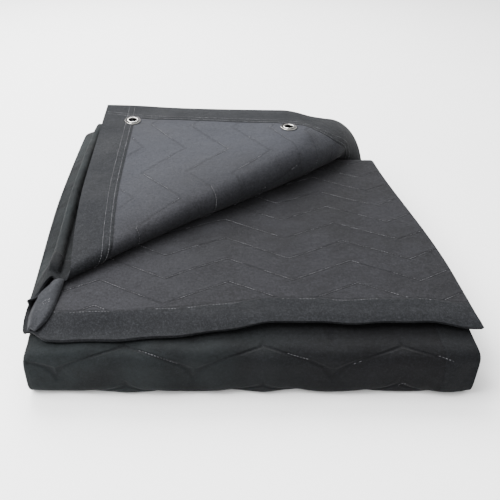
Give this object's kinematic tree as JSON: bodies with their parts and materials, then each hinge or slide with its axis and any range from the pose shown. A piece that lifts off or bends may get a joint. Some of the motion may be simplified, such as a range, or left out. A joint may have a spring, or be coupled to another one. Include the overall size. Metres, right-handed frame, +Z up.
{
  "type": "quilted sound dampening blanket",
  "caption": "Thick quilted blanket with hemmed edges and metal eyelets, folded into a flat stack with one free corner turned back over a slanting roll.",
  "frame": {"origin": "on the underside of the folded stack, under the middle of its footprint", "axes": "+X to the right along the front fold, +Y from the front fold to the back, +Z up; the blanket stands on Z = 0"},
  "size_m": [0.5217, 0.5404, 0.1453],
  "materials": {
    "black_quilted_cloth": "matt woven cotton and polyester, quilted in zigzag rows",
    "grey_hem_cloth": "matt woven underside with a sewn hem",
    "nickel": "bright nickel plate"
  },
  "bodies": {
    "root": {"blanket": "black_quilted_cloth", "eyelet_hem": "grey_hem_cloth", "eyelet_1": "nickel", "eyelet_2": "nickel"}
  },
  "joints": []
}
